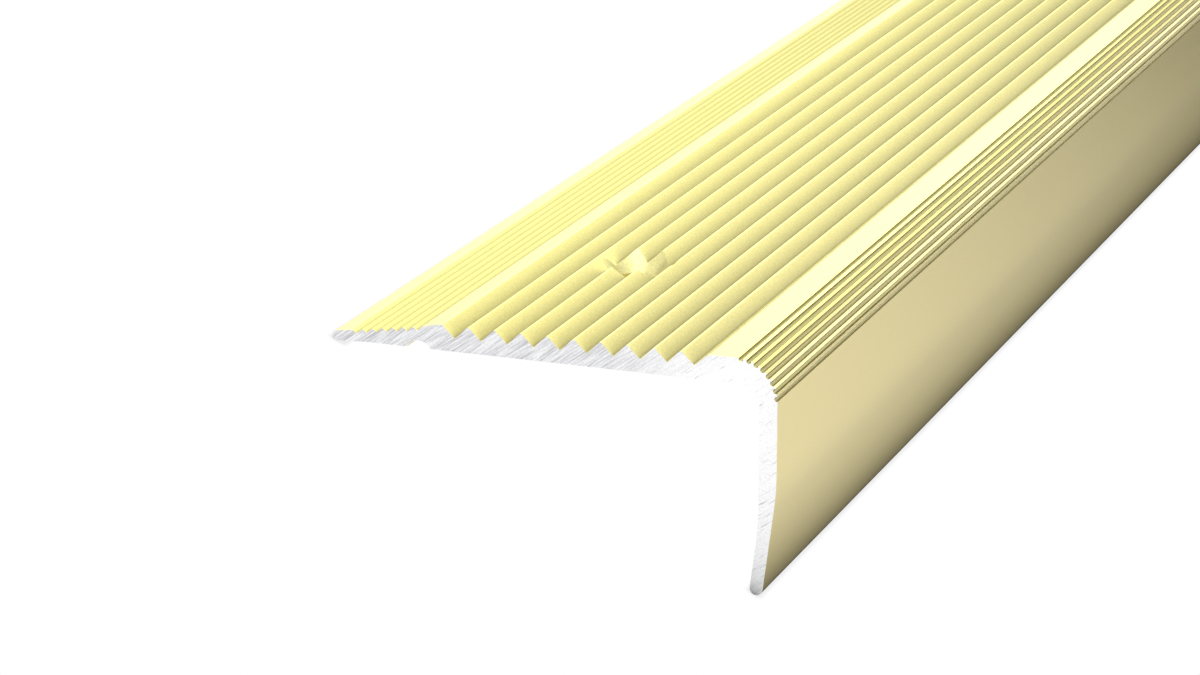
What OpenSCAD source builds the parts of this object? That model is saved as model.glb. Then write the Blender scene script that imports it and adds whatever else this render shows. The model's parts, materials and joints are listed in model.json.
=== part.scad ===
// Stair nosing: one extruded aluminium strip for the front edge of a stair tread.
// A ribbed flange lies on the tread, a round grooved nose covers the edge and a short leg covers the riser.
// The strip is stored as it rests on a floor, on its rear lip and on the tip of its leg, along Y.

/* [Strip] */
// Cut length of the strip
length = 1000; // [400:10:3000]
// Width from the rear lip to the face of the leg
width = 45.1; // [40:0.1:60]
// Height from the rib crests to the tip of the leg
height = 23.25; // [20:0.05:40]

/* [Tread flange] */
// Thickness from the rib crests to the seat on the tread
flange_t = 2.6; // [2.4:0.05:3.4]
// Thickness of the rear lip
lip_t = 1; // [0.8:0.02:1.1]
// Depth by which the rear lip hooks below the seat
lip_hook = 0.17; // [0.05:0.01:0.3]
// Width over which the hook of the lip runs out
lip_hook_w = 3.8; // [2.5:0.1:5]
// Width of the plain strip on top of the rear lip
lip_plain_w = 2.1; // [1.5:0.05:2.6]

/* [Fine grooves] */
// Number of fine grooves behind the land
fine_n = 7; // [3:1:8]
// Distance from one fine groove to the next
fine_pitch = 1.05; // [0.8:0.01:1.2]
// Depth of the fine grooves
fine_depth = 0.4; // [0.2:0.01:0.5]

/* [Land and ribs] */
// Width of the plain land between the fine grooves and the ribs
land_w = 2; // [1.2:0.05:3]
// Depth of the land's rear edge below the rib crests
land_drop = 0.42; // [0.2:0.01:0.6]
// Rounding of the land's front edge
land_r = 0.3; // [0.1:0.01:0.5]
// Distance from one rib to the next
rib_pitch = 2.68; // [2.2:0.02:3.2]
// Depth of the V between two ribs
rib_depth = 1.32; // [0.8:0.02:1.5]
// Rounding of the rib crests
crest_r = 0.2; // [0.1:0.01:0.4]
// Rounding at the root of each V
root_r = 0.1; // [0.05:0.01:0.3]

/* [Nose] */
// Outer radius of the nose
nose_r = 4; // [3.4:0.05:5]
// Least width of the plain band between the ribs and the nose
band_w = 2.2; // [1.5:0.1:4]
// Depth of the band below the rib crests
band_drop = 0.12; // [0:0.01:0.3]
// Rounding of the band's rear shoulder
shoulder_r = 1; // [0.3:0.05:1.4]
// Number of grooves around the nose
nose_n = 8; // [4:1:9]
// Width of a nose groove
nose_groove_w = 0.48; // [0.3:0.02:0.54]
// Depth of a nose groove down to its round bottom
nose_groove_depth = 0.3; // [0.29:0.01:0.4]

/* [Riser leg] */
// Thickness of the upper leg
leg_t = 1.75; // [1.5:0.05:2.2]
// Thickness of the leg at its rounded tip
tip_t = 1.28; // [1:0.02:1.4]
// Angle by which the lower leg leans in against the riser
lean = 7.2; // [4:0.1:10]
// Depth of the leg's bend below the rib crests
bend_z = 12.8; // [11:0.1:14]
// Radius of the leg's bend
bend_r = 30; // [15:1:40]
// Fillet inside the corner between flange and leg
corner_r = 2; // [1:0.1:4]

/* [Channel under the flange] */
// Distance of the channel's middle from the rear lip
channel_x = 9; // [7.5:0.1:11]
// Width of the channel's mouth
channel_w = 2.4; // [1.6:0.05:2.6]
// Depth of the channel
channel_depth = 0.73; // [0.3:0.01:0.8]

/* [Screw holes] */
// Diameter of the screw holes
hole_d = 4.5; // [3.8:0.1:5]
// Diameter of the countersink at the level of the rib crests
sink_d = 8.2; // [7.6:0.1:8.8]
// Full angle of the countersink
sink_angle = 82; // [78:1:100]
// Distance of the holes from the rear lip
hole_x = 20.95; // [16:0.05:32]
// Number of holes along the strip
hole_n = 6; // [2:1:12]
// Distance of the first and last hole from the ends
hole_end = 28.3; // [15:0.1:60]

/* [Hidden] */
// Largest turn and longest chord of one step along a rounding
step_turn = 22.5;
step_chord = 0.25;
// Steps around one nose groove
groove_steps = 8;
// Sides of a screw hole
hole_sides = 48;
// Length by which a cutting shape runs past the strip
over = 1;
gold = [0.86, 0.78, 0.47];

// Rear lip, rounded over its full thickness
lip_r = lip_t / 2;
lip_c = [lip_r, lip_r - flange_t - lip_hook];

// Sloped top of the flange, from the round of the lip up to the land
land_x = lip_plain_w + fine_n * fine_pitch;
land = [land_x, -land_drop];
land_run = land - lip_c;
slope = atan2(land_run.y, land_run.x) - asin(lip_r / norm(land_run));

// Ribs, as many as fit between the land and the plain band
rib_x = land_x + land_w;
nose_c = [width - nose_r, -band_drop - nose_r];
rib_n = floor((nose_c.x - band_w - rib_x) / rib_pitch);

// Riser leg: bends of both faces and the middle of the rounded tip
tip_r = tip_t / 2;
down = [-sin(lean), -cos(lean)];
across = [-cos(lean), sin(lean)];
bend_out = [width, -bend_z];
tip_run = (height - bend_z - tip_r + tip_r * sin(lean)) / cos(lean);
tip_c = bend_out + tip_run * down + tip_r * across;
bend_in_run = (leg_t - tip_t * cos(lean)) / sin(lean);
bend_in = bend_out + tip_t * across + bend_in_run * down;

// Channel, part of a circle above the seat
channel_r = (channel_w * channel_w / 4 + channel_depth * channel_depth) / (2 * channel_depth);
channel_c = [channel_x, channel_depth - channel_r - flange_t];
channel_a = asin((channel_r - channel_depth) / channel_r);

// Nose grooves, evenly spread over the quarter round
nose_turn = 90 / nose_n;
nose_groove_r = nose_groove_w / 2;
nose_mouth = asin(nose_groove_r / nose_r);
nose_mid = nose_r - nose_groove_depth + nose_groove_r;

// Screw holes
sink_depth = (sink_d - hole_d) / 2 / tan(sink_angle / 2);
hole_pitch = (length - 2 * hole_end) / (hole_n - 1);

// Rest: turned until the lip and the tip touch the same floor
rest_run = tip_c - lip_c;
tilt = atan2(-rest_run.y, rest_run.x) + asin((tip_r - lip_r) / norm(rest_run));
floor_z = lip_c.x * sin(tilt) + lip_c.y * cos(tilt) - lip_r;
rear_x = lip_c.x * cos(tilt) - lip_c.y * sin(tilt) - lip_r;
front_x = tip_c.x * cos(tilt) - tip_c.y * sin(tilt) + tip_r;

// Height of the sloped top over a point x of the flange
function slope_z(x) = land.y - (land.x - x) * tan(slope);

// Step of length one in the direction a
function ray(a) = [cos(a), sin(a)];

// Points of an arc about c from angle a by the turn t
function arc(c, r, a, t, n) = [for (i = [0:n]) c + r * ray(a + t * i / n)];

// Number of steps for a rounding of radius r over a turn t
function steps(r, t) = ceil(max(abs(t) / step_turn, abs(t) * PI / 180 * r / step_chord));

// Arc that rounds the corner b between its neighbours a and c, each given as [x, z, radius]
function round_corner(a, b, c) =
    let (
        corner = [b.x, b.y],
        u = [a.x, a.y] - corner,
        v = [c.x, c.y] - corner,
        half = acos(u * v / norm(u) / norm(v)) / 2,
        mid = u / norm(u) + v / norm(v),
        centre = corner + mid / norm(mid) * b.z / sin(half),
        start = corner + u / norm(u) * b.z / tan(half) - centre,
        side = sign(u.x * v.y - u.y * v.x),
        turn = -side * (180 - 2 * half)
    )
    arc(centre, b.z, atan2(start.y, start.x), turn, steps(b.z, turn));

// Outline of a run of corners, each rounded, without its two end points
function rounded(run) = [for (i = [1:len(run) - 2]) each round_corner(run[i - 1], run[i], run[i + 1])];

// Fine grooves on the slope, from the lip to the land
fine_run = [
    for (i = [0:fine_n - 1])
        let (x = lip_plain_w + i * fine_pitch, root_x = x + fine_pitch / 2)
        each [[x, slope_z(x)], [root_x, slope_z(root_x) - fine_depth]]
];

// Land, ribs and band up to the top of the nose
rib_run = concat(
    [[land.x, land.y, 0], [rib_x, 0, land_r]],
    [
        for (i = [1:rib_n])
            let (x = rib_x + i * rib_pitch)
            each [
                [x - rib_pitch / 2, -rib_depth, root_r],
                i < rib_n ? [x, 0, crest_r] : [x, -band_drop, shoulder_r]
            ]
    ],
    [[nose_c.x, -band_drop, 0]]
);

// Quarter round of the nose with its grooves
nose_run = [
    for (i = [0:nose_n - 1])
        let (a = 90 - (i + 1 / 2) * nose_turn)
        each concat(
            [nose_c + nose_r * ray(a + nose_mouth)],
            arc(nose_c + nose_mid * ray(a), nose_groove_r, a + 90, 180, groove_steps),
            [nose_c + nose_r * ray(a - nose_mouth)]
        )
];

// Outer and inner faces of the leg, up to the channel
out_run = [
    [width, nose_c.y, 0],
    [bend_out.x, bend_out.y, bend_r],
    [tip_c.x - tip_r * across.x, tip_c.y - tip_r * across.y, 0]
];
in_run = [
    [tip_c.x + tip_r * across.x, tip_c.y + tip_r * across.y, 0],
    [bend_in.x, bend_in.y, bend_r],
    [bend_in.x, -flange_t, corner_r],
    [channel_x, -flange_t, 0]
];

section = concat(
    arc(lip_c, lip_r, -90, slope - 180, steps(lip_r, 180)),
    fine_run,
    [land],
    rounded(rib_run),
    [[nose_c.x, -band_drop]],
    nose_run,
    [[width, nose_c.y]],
    rounded(out_run),
    arc(tip_c, tip_r, -lean, -180, steps(tip_r, 180)),
    rounded(in_run),
    arc(channel_c, channel_r, channel_a, 180 - 2 * channel_a, steps(channel_r, 180)),
    [[lip_hook_w, -flange_t]]
);

// One countersunk hole, with its middle at the level of the rib crests
module screw_hole() {
    translate([0, 0, -flange_t - over])
        cylinder(h = flange_t + over, d = hole_d, $fn = hole_sides);
    translate([0, 0, -sink_depth])
        cylinder(h = sink_depth, d1 = hole_d, d2 = sink_d, $fn = hole_sides);
}

// Strip as it is fitted, flange level and leg down, along Y
module fitted_strip() {
    difference() {
        rotate([90, 0, 0]) linear_extrude(height = length, center = true) polygon(section);
        for (i = [0:hole_n - 1])
            translate([hole_x, hole_end + i * hole_pitch - length / 2, 0]) screw_hole();
    }
}

// Strip as it rests on a floor
module nosing_profile() {
    color(gold)
        translate([-(rear_x + front_x) / 2, 0, -floor_z]) rotate([0, -tilt, 0]) fitted_strip();
}

nosing_profile();
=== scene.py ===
"""Looks of the stair nosing: gold anodised aluminium with bare saw-cut ends, on a white floor."""

import json
import math

import bpy
from mathutils import Matrix, Vector


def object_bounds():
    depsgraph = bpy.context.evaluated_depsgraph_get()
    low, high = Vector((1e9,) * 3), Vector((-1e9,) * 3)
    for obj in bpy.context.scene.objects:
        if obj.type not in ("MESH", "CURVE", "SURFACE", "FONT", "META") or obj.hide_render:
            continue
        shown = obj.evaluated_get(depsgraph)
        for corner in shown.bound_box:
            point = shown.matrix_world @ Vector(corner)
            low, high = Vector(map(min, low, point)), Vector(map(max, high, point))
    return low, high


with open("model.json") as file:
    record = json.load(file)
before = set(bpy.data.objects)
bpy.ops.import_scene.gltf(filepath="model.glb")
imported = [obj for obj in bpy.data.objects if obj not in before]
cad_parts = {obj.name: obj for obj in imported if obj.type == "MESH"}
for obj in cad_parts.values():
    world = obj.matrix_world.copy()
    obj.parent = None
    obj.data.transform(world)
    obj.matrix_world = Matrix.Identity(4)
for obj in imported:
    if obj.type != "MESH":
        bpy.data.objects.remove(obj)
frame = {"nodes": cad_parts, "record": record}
cad_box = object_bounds()
strip = frame["nodes"]["nosing_profile"]

# The photograph: its width and focal length in pixels
IMAGE_W = 1200
FOCAL_PX = 4080.0

# Camera: width of its sensor in millimetres, and the nearest and farthest distance that it sees
SENSOR_MM = 36.0
CLIP = (0.01, 50.0)

# The photograph's camera in the frame of the fitted strip: x from the rear lip to the nose,
# y along the strip from its near end, z up from the rib crests, in metres
EYE_FITTED = (0.157149, -0.342207, 0.110983)
PITCH_DEG = 16.815
YAW_DEG = 20.746

# Middle of the first screw hole's bore in that frame
HOLE_FITTED = (0.02095, 0.0283, -0.002364)

# Range of a noise that carries most of its variation, and its middle
NOISE_SPAN = (0.3, 0.7)
NOISE_MID = 0.5

# Rays that measure how open a point is
OPENNESS_RAYS = 8

# Gold anodised surface: colour, painted shade between the ribs, and range of roughness
GOLD = (0.88, 0.755, 0.345)
GOLD_PAINTED_SHADE = (0.42, 0.355, 0.16)
GOLD_ROUGH = (0.28, 0.31)

# Flanks of the ribs, painted darker where the metal around them would shade them: reach of that metal,
# and openness from the painted shade to the full tone
FLANK_REACH = 0.0028
FLANK_SHADE = (0.58, 0.97)

# Walls of the screw holes, a lit copy of the gold with a greener colour and lighter painted shade:
# colour, openness from the painted shade to the full tone, and range of roughness
WALL_LIT_GOLD = (0.86, 0.775, 0.345)
WALL_SHADE = (0.1, 0.6)
WALL_ROUGH = (0.36, 0.40)

# Narrow grooves, painted darker where the metal around them would shade them: reach of that metal,
# openness over which the painted shade deepens, and its darkest tone
GROOVE_REACH = 0.0004
GROOVE_SHADE = (0.55, 0.95)
GROOVE_PAINTED_SHADE = 0.5

# Grain of the anodising: size, detail, range of tones, and rise of its bump
GRAIN = 0.00021
GRAIN_DETAIL = 2.0
GRAIN_TONE = (0.91, 1.08)
GRAIN_RISE = 0.000008

# Range of x over which the grain fades towards the nose, and the share of it that is left there
GRAIN_SPAN = (0.011, 0.015)
GRAIN_SMOOTH = 0.25

# Die lines along the strip: size along the three axes, and detail
DIE_LINE = (0.00012, 0.05, 0.00012)
DIE_DETAIL = 3.0

# Bare saw-cut ends: colour, roughness, and range of tones of their grain
BARE = (0.97, 0.97, 0.975)
BARE_ROUGH = 0.45
BARE_GRAIN_TONE = (0.91, 1.06)

# Saw marks, which also carry painted shade towards the rear lip and the low leg: colour, direction, size
# along the three axes, detail, range of their noise and strength, and rise of their bump
SAW_MARK_AND_SHADE = (0.50, 0.50, 0.52)
SAW_ANGLE_DEG = 62.0
SAW_STREAK = (0.0024, 1.0, 0.0001)
SAW_DETAIL = 3.0
SAW_SPAN = (0.38, 0.67)
SAW_STRENGTH = (0.26, 0.95)
SAW_RISE = 0.000006

# Area around the upper leg where the saw marks and their painted shade are faint, so the cut end is
# lighter there:
# its middle in the frame of the fitted strip, the distances over which they come back, and the share of
# them that is left in it
CLEAR_UNSHADED_FITTED = (0.043, 0.0, -0.010)
CLEAR_UNSHADED_FADE = (0.009, 0.017)
CLEAR_UNSHADED_SHARE = 0.13

# Sparse scratches: size along the three axes, detail, and range of their noise
SCRATCH = (0.0022, 1.0, 0.0001)
SCRATCH_DETAIL = 1.0
SCRATCH_SPAN = (0.67, 0.76)

# Faces this close to the strip's ends are its cut ends
END_DEPTH = 1e-5

# Countersunk screw holes: full angle of the countersink, and how closely a wall's corners follow it
SINK_ANGLE_DEG = 82.0
WALL_SLACK = 5e-5

# Places of the strip's materials
GOLD_SLOT = 0
BARE_SLOT = 1
WALL_SLOT = 2

# Metres in a millimetre
MM = 0.001

# White floor: its paint and half its width
FLOOR_PAINT = 0.9
FLOOR_HALF = 6.0

# Contact shadow on the floor: its reach, the openness over which it fades, and its darkest tone
CONTACT_REACH = 0.0006
CONTACT_FADE = (0.5, 1.0)
CONTACT_TONE = 0.84

# Shade on the floor that the metal mirrors: its reach, how steeply it deepens,
# and the range of x over which it sets in to the right of the strip
SHADE_REACH = 0.012
SHADE_POWER = 5.5
RIGHT_SPAN = (0.005, 0.022)

# That floor also dims away from the near end: direction, range along it, and tones at both ends
DIM_WAY = (-0.9, 0.436, 0.0)
DIM_SPAN = (-0.235, -0.12)
DIM_TONE = (0.87, 0.125)

# Strength of the even surround
SURROUND = 0.3

# Colours of the lamps, and the point that they aim at
WHITE = (1.0, 1.0, 1.0)
WARM = (1.0, 1.075, 0.69)
ROSY = (1.02, 1.0, 1.0)
PALE = (1.0, 1.05, 1.05)
NEAR_END = Vector((0.0, -0.45, 0.01))

# Panels beyond the far end: distance, and how closely their directions follow the strip
FAR_DISTANCE = 1.6
FAR_SLANT = 0.875
LOW_SLANT = 0.70


def fitted_to_rest():
    """Matrix from the fitted strip's frame to the frame of the strip at rest."""
    hole = next(m for m in frame["record"]["mounts"] if m["name"] == "screw_hole_1")
    up = Vector(hole["axis"])
    along = Vector((0.0, 1.0, 0.0))
    turn = Matrix((along.cross(up), along, up)).transposed()
    shift = Vector(hole["pos_m"]) - turn @ Vector(HOLE_FITTED)
    return Matrix.Translation(shift) @ turn.to_4x4()


def make_camera():
    """Camera with the photograph's view of the strip's near end."""
    data = bpy.data.cameras.new("photo_camera")
    data.sensor_fit = "HORIZONTAL"
    data.sensor_width = SENSOR_MM
    data.lens = FOCAL_PX / IMAGE_W * SENSOR_MM
    data.clip_start, data.clip_end = CLIP
    cam = bpy.data.objects.new("photo_camera", data)
    bpy.context.scene.collection.objects.link(cam)
    pitch = math.radians(PITCH_DEG)
    yaw = math.radians(YAW_DEG)
    level = Vector((-math.sin(yaw), math.cos(yaw), 0.0))
    look = level * math.cos(pitch) - Vector((0.0, 0.0, math.sin(pitch)))
    right = Vector((math.cos(yaw), math.sin(yaw), 0.0))
    top = right.cross(look)
    pose = Matrix((right, top, -look)).transposed().to_4x4()
    pose.translation = Vector(EYE_FITTED)
    cam.matrix_world = fitted_to_rest() @ pose
    bpy.context.scene.camera = cam


def new_material(name):
    """Empty material, with its node tree and output."""
    mat = bpy.data.materials.new(name)
    mat.use_nodes = True
    tree = mat.node_tree
    tree.nodes.clear()
    out = add(tree, "ShaderNodeOutputMaterial")
    return mat, tree, out


def add(tree, kind, **props):
    """New node with the given properties."""
    node = tree.nodes.new(kind)
    for key, value in props.items():
        setattr(node, key, value)
    return node


def feed(tree, value, socket):
    """Give a socket a plain value, or link it to another node's output."""
    if isinstance(value, (float, tuple)):
        socket.default_value = value
    else:
        tree.links.new(value, socket)


def object_place(tree):
    """Place of a point in metres, in the frame of the strip at rest."""
    return add(tree, "ShaderNodeTexCoord").outputs["Object"]


def x_of(tree, place):
    """Place along x, from the rear lip towards the nose."""
    node = add(tree, "ShaderNodeSeparateXYZ")
    feed(tree, place, node.inputs[0])
    return node.outputs["X"]


def noise(tree, place, size, detail):
    """Noise of a given feature size in metres, or of three sizes along the axes."""
    sized = add(tree, "ShaderNodeMapping", vector_type="TEXTURE")
    sized.inputs["Scale"].default_value = (size, size, size) if isinstance(size, float) else size
    feed(tree, place, sized.inputs["Vector"])
    node = add(tree, "ShaderNodeTexNoise")
    feed(tree, 1.0, node.inputs["Scale"])
    feed(tree, detail, node.inputs["Detail"])
    feed(tree, sized.outputs["Vector"], node.inputs["Vector"])
    return node.outputs["Fac"]


def spread(tree, value, low, high, to_low, to_high):
    """Value mapped from one range to another, held within it."""
    node = add(tree, "ShaderNodeMapRange")
    feed(tree, low, node.inputs["From Min"])
    feed(tree, high, node.inputs["From Max"])
    feed(tree, to_low, node.inputs["To Min"])
    feed(tree, to_high, node.inputs["To Max"])
    feed(tree, value, node.inputs["Value"])
    return node.outputs["Result"]


def mixed(tree, share, first, second):
    """Colour between two colours by a share."""
    node = add(tree, "ShaderNodeMix", data_type="RGBA")
    feed(tree, share, node.inputs["Factor"])
    feed(tree, (*first, 1.0), node.inputs["A"])
    feed(tree, (*second, 1.0), node.inputs["B"])
    return node.outputs["Result"]


def between(tree, share, first, second):
    """Value between two values by a share."""
    node = add(tree, "ShaderNodeMix")
    feed(tree, share, node.inputs["Factor"])
    feed(tree, first, node.inputs["A"])
    feed(tree, second, node.inputs["B"])
    return node.outputs["Result"]


def reckoned(tree, operation, first, second):
    """Result of an operation on two values."""
    node = add(tree, "ShaderNodeMath", operation=operation)
    feed(tree, first, node.inputs[0])
    feed(tree, second, node.inputs[1])
    return node.outputs["Value"]


def toned(tree, colour, tone):
    """Colour made darker or lighter by a factor."""
    node = add(tree, "ShaderNodeHueSaturation")
    feed(tree, colour, node.inputs["Color"])
    feed(tree, tone, node.inputs["Value"])
    return node.outputs["Color"]


def bumped(tree, height, rise):
    """Normal of a surface that noise lifts by a given rise in metres."""
    node = add(tree, "ShaderNodeBump")
    feed(tree, 1.0, node.inputs["Strength"])
    feed(tree, rise, node.inputs["Distance"])
    feed(tree, height, node.inputs["Height"])
    return node.outputs["Normal"]


def openness(tree, reach):
    """Share of the space over a point that is free of surfaces within a given reach."""
    node = add(tree, "ShaderNodeAmbientOcclusion", samples=OPENNESS_RAYS)
    feed(tree, reach, node.inputs["Distance"])
    return node.outputs["AO"]


def finish_metal(tree, out, colour, rough, normal):
    """Metal shader with the given colour, roughness and normal."""
    bsdf = add(tree, "ShaderNodeBsdfPrincipled")
    feed(tree, colour, bsdf.inputs["Base Color"])
    feed(tree, 1.0, bsdf.inputs["Metallic"])
    feed(tree, rough, bsdf.inputs["Roughness"])
    feed(tree, normal, bsdf.inputs["Normal"])
    feed(tree, bsdf.outputs["BSDF"], out.inputs["Surface"])


def gold_material(name, gold, shade, rough):
    """Gold anodising: grain, faint die lines along the strip, and painted shade between the ribs and in
    the grooves.
    """
    mat, tree, out = new_material(name)
    place = object_place(tree)
    ribbed = spread(tree, x_of(tree, place), *GRAIN_SPAN, 1.0, GRAIN_SMOOTH)
    grain = between(tree, ribbed, NOISE_MID, noise(tree, place, GRAIN, GRAIN_DETAIL))
    lines = noise(tree, place, DIE_LINE, DIE_DETAIL)
    # Painted shade: the gold darkens where the metal around a point is close, on rib flanks and in
    # grooves
    flank_unshaded_share = spread(tree, openness(tree, FLANK_REACH), *shade, 0.0, 1.0)
    groove_shade_tone = spread(tree, openness(tree, GROOVE_REACH), *GROOVE_SHADE, GROOVE_PAINTED_SHADE, 1.0)
    colour = toned(tree, mixed(tree, flank_unshaded_share, GOLD_PAINTED_SHADE, gold), groove_shade_tone)
    colour = toned(tree, colour, spread(tree, grain, *NOISE_SPAN, *GRAIN_TONE))
    roughness = spread(tree, lines, *NOISE_SPAN, *rough)
    finish_metal(tree, out, colour, roughness, bumped(tree, grain, GRAIN_RISE))
    return mat


def unshaded_clear_distance(tree, place):
    """Distance of a point of the cut end from the middle of the area where saw marks and painted shade
    are faint.
    """
    flat = add(tree, "ShaderNodeVectorMath", operation="MULTIPLY")
    feed(tree, place, flat.inputs[0])
    feed(tree, (1.0, 0.0, 1.0), flat.inputs[1])
    clear = fitted_to_rest() @ Vector(CLEAR_UNSHADED_FITTED)
    node = add(tree, "ShaderNodeVectorMath", operation="DISTANCE")
    feed(tree, flat.outputs["Vector"], node.inputs[0])
    feed(tree, (clear.x, 0.0, clear.z), node.inputs[1])
    return node.outputs["Value"]


def bare_material():
    """Bare saw-cut aluminium: slanting saw marks, faint around the upper leg and stronger towards the
    rear lip and the low leg, where they also paint shade, and sparse scratches.
    """
    mat, tree, out = new_material("bare_saw_cut")
    place = object_place(tree)
    turned = add(tree, "ShaderNodeMapping", vector_type="TEXTURE")
    feed(tree, (0.0, math.radians(-SAW_ANGLE_DEG), 0.0), turned.inputs["Rotation"])
    feed(tree, place, turned.inputs["Vector"])
    slanting = turned.outputs["Vector"]
    streaks = noise(tree, slanting, SAW_STREAK, SAW_DETAIL)
    marks = spread(tree, streaks, *SAW_SPAN, *SAW_STRENGTH)
    # Painted shade: the marks grow with distance from the upper leg and darken the rear lip and the low
    # leg
    marks_and_shade_fade = spread(tree, unshaded_clear_distance(tree, place), *CLEAR_UNSHADED_FADE, CLEAR_UNSHADED_SHARE, 1.0)
    scratches = spread(tree, noise(tree, slanting, SCRATCH, SCRATCH_DETAIL), *SCRATCH_SPAN, 0.0, 1.0)
    wear_and_shade = reckoned(tree, "MAXIMUM", reckoned(tree, "MULTIPLY", marks, marks_and_shade_fade), scratches)
    grain = noise(tree, place, GRAIN, GRAIN_DETAIL)
    tone = spread(tree, grain, *NOISE_SPAN, *BARE_GRAIN_TONE)
    colour = toned(tree, mixed(tree, wear_and_shade, BARE, SAW_MARK_AND_SHADE), tone)
    finish_metal(tree, out, colour, BARE_ROUGH, bumped(tree, streaks, SAW_RISE))
    return mat


def mirrored_tone(tree, place):
    """Tone of the floor as metal mirrors it: white, but shaded and dimming to the right of the strip."""
    deepened = reckoned(tree, "POWER", openness(tree, SHADE_REACH), SHADE_POWER)
    way = add(tree, "ShaderNodeVectorMath", operation="DOT_PRODUCT")
    feed(tree, place, way.inputs[0])
    feed(tree, DIM_WAY, way.inputs[1])
    dimmed = spread(tree, way.outputs["Value"], *DIM_SPAN, *DIM_TONE)
    right = spread(tree, x_of(tree, place), *RIGHT_SPAN, 0.0, 1.0)
    return between(tree, right, 1.0, reckoned(tree, "MULTIPLY", deepened, dimmed))


def floor_material():
    """White floor with a contact shadow, which metal mirrors with a softer and wider shade."""
    mat, tree, out = new_material("white_floor")
    path = add(tree, "ShaderNodeLightPath").outputs
    contact = spread(tree, openness(tree, CONTACT_REACH), *CONTACT_FADE, CONTACT_TONE, 1.0)
    mirrored = mirrored_tone(tree, object_place(tree))
    white = add(tree, "ShaderNodeEmission")
    feed(tree, (*WHITE, 1.0), white.inputs["Color"])
    feed(tree, between(tree, path["Is Camera Ray"], mirrored, contact), white.inputs["Strength"])
    paint = add(tree, "ShaderNodeBsdfDiffuse")
    feed(tree, (FLOOR_PAINT, FLOOR_PAINT, FLOOR_PAINT, 1.0), paint.inputs["Color"])
    shown = reckoned(tree, "MAXIMUM", path["Is Glossy Ray"], path["Is Transmission Ray"])
    shown = reckoned(tree, "MAXIMUM", shown, path["Is Camera Ray"])
    mix = add(tree, "ShaderNodeMixShader")
    feed(tree, shown, mix.inputs["Fac"])
    feed(tree, paint.outputs["BSDF"], mix.inputs[1])
    feed(tree, white.outputs["Emission"], mix.inputs[2])
    feed(tree, mix.outputs["Shader"], out.inputs["Surface"])
    return mat


def make_floor():
    """Floor that the strip rests on."""
    half = FLOOR_HALF
    corners = [(-half, -half, 0), (half, -half, 0), (half, half, 0), (-half, half, 0)]
    mesh = bpy.data.meshes.new("floor")
    mesh.from_pydata(corners, [], [(0, 1, 2, 3)])
    obj = bpy.data.objects.new("floor", mesh)
    bpy.context.scene.collection.objects.link(obj)
    mesh.materials.append(floor_material())


def make_world():
    """Even white surround."""
    world = bpy.data.worlds.new("studio")
    bpy.context.scene.world = world
    world.use_nodes = True
    tree = world.node_tree
    tree.nodes.clear()
    out = add(tree, "ShaderNodeOutputWorld")
    back = add(tree, "ShaderNodeBackground")
    feed(tree, (*WHITE, 1.0), back.inputs["Color"])
    feed(tree, SURROUND, back.inputs["Strength"])
    feed(tree, back.outputs["Background"], out.inputs["Surface"])


def make_lamp(name, away, distance, size, radiance, colour):
    """Soft panel that faces the near end from a direction and a distance."""
    width, height = size
    data = bpy.data.lights.new(name, "AREA")
    data.shape = "RECTANGLE"
    data.size = width
    data.size_y = height
    data.energy = radiance * math.pi * width * height
    data.color = colour
    obj = bpy.data.objects.new(name, data)
    bpy.context.scene.collection.objects.link(obj)
    away = Vector(away).normalized()
    obj.location = NEAR_END + away * distance
    obj.rotation_mode = "QUATERNION"
    obj.rotation_quaternion = (-away).to_track_quat("-Z", "Y")


def beyond(angle_deg, slant=FAR_SLANT):
    """Direction past the far end, given by its angle about the strip, from the right and upwards."""
    turn = math.radians(angle_deg)
    reach = math.sqrt(1 - slant**2)
    return reach * math.cos(turn), slant, reach * math.sin(turn)


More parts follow.
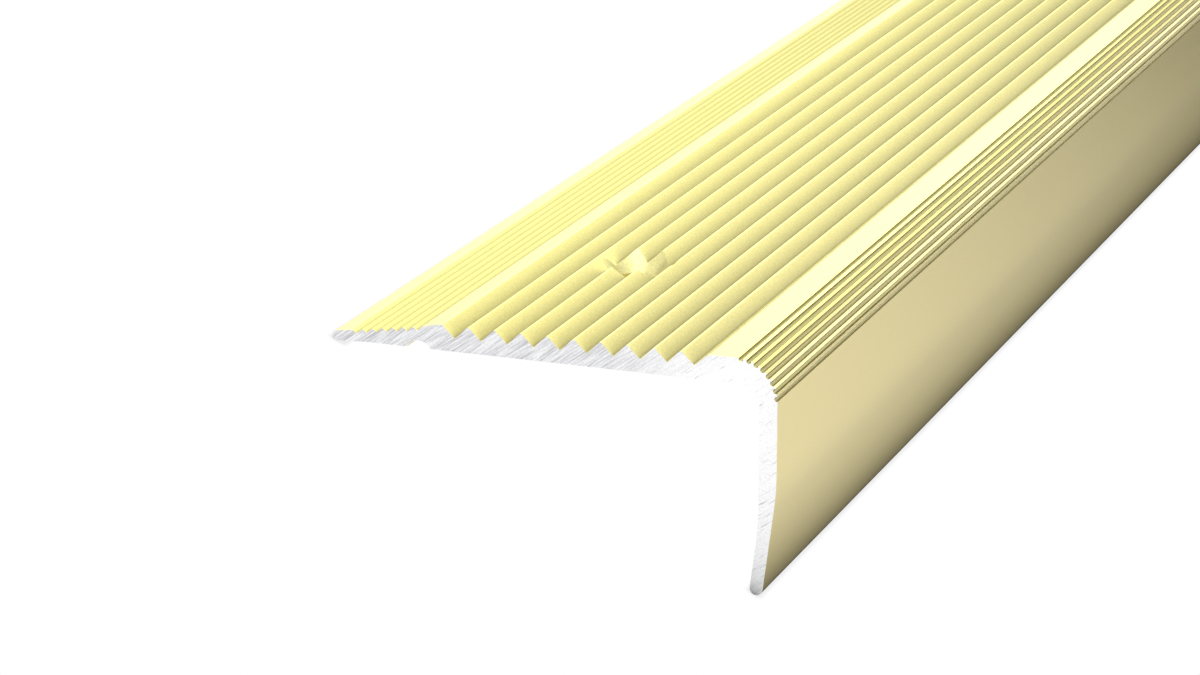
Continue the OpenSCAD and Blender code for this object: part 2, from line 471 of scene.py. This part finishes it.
def make_lamps():
    """Panels beyond the far end, which the metal mirrors, and softer light from the other sides."""
    far = FAR_DISTANCE
    make_lamp("panel_low", beyond(8.0, LOW_SLANT), far, size=(0.5, 0.3), radiance=2.4, colour=ROSY)
    make_lamp("panel_right", beyond(36.0), far, size=(0.9, 0.6), radiance=1.5, colour=PALE)
    make_lamp("panel_top", beyond(104.0), far, size=(0.8, 0.7), radiance=1.47, colour=WARM)
    make_lamp("panel_left", beyond(163.0), far, size=(0.8, 0.9), radiance=1.95, colour=WARM)
    make_lamp("panel_above", (-0.05, 0.25, 1.0), 1.0, size=(0.9, 1.3), radiance=0.85, colour=PALE)
    make_lamp("panel_front", (-0.18, -0.95, 0.2), 1.2, size=(1.2, 0.6), radiance=3.25, colour=WHITE)
    make_lamp("panel_back", (-0.38, -0.24, 0.9), 0.8, size=(0.5, 0.5), radiance=2.1, colour=PALE)
    make_lamp("panel_side", (-0.85, 0.1, 0.5), 1.2, size=(1.8, 0.8), radiance=0.85, colour=PALE)


def lines_hole(corners, hole):
    """Whether a face's corners all lie on the bore or the countersink of a screw hole."""
    middle = Vector(hole["pos_m"])
    axis = Vector(hole["axis"])
    bore_r = hole["dims"]["r_mm"] * MM
    bore_top = hole["dims"]["length_mm"] * MM / 2
    flare = math.tan(math.radians(SINK_ANGLE_DEG / 2))
    for corner in corners:
        rise = (corner - middle).dot(axis)
        reach = (corner - middle - axis * rise).length
        wall_r = bore_r + max(0.0, rise - bore_top) * flare
        if abs(reach - wall_r) > WALL_SLACK:
            return False
    return True


def dress_strip():
    """Gold on the strip, a lit copy of it with greener colour and lighter painted shade on the walls of
    the screw holes, and bare metal on the cut ends.
    """
    mesh = strip.data
    mesh.materials.clear()
    mesh.materials.append(gold_material("gold_anodised", GOLD, FLANK_SHADE, GOLD_ROUGH))
    mesh.materials.append(bare_material())
    # Painted light: the walls of the screw holes get a greener copy of the gold with lighter painted
    # shade
    mesh.materials.append(gold_material("gold_hole_walls_lit_copy", WALL_LIT_GOLD, WALL_SHADE, WALL_ROUGH))
    holes = [m for m in frame["record"]["mounts"] if m["kind"] == "bore"]
    end_y = cad_box[1][1] - END_DEPTH
    for poly in mesh.polygons:
        corners = [mesh.vertices[v].co for v in poly.vertices]
        if abs(poly.center.y) > end_y:
            poly.material_index = BARE_SLOT
        elif any(lines_hole(corners, hole) for hole in holes):
            poly.material_index = WALL_SLOT
        else:
            poly.material_index = GOLD_SLOT


make_camera()
make_floor()
make_world()
make_lamps()
dress_strip()

bpy.context.scene.view_settings.view_transform = "Standard"
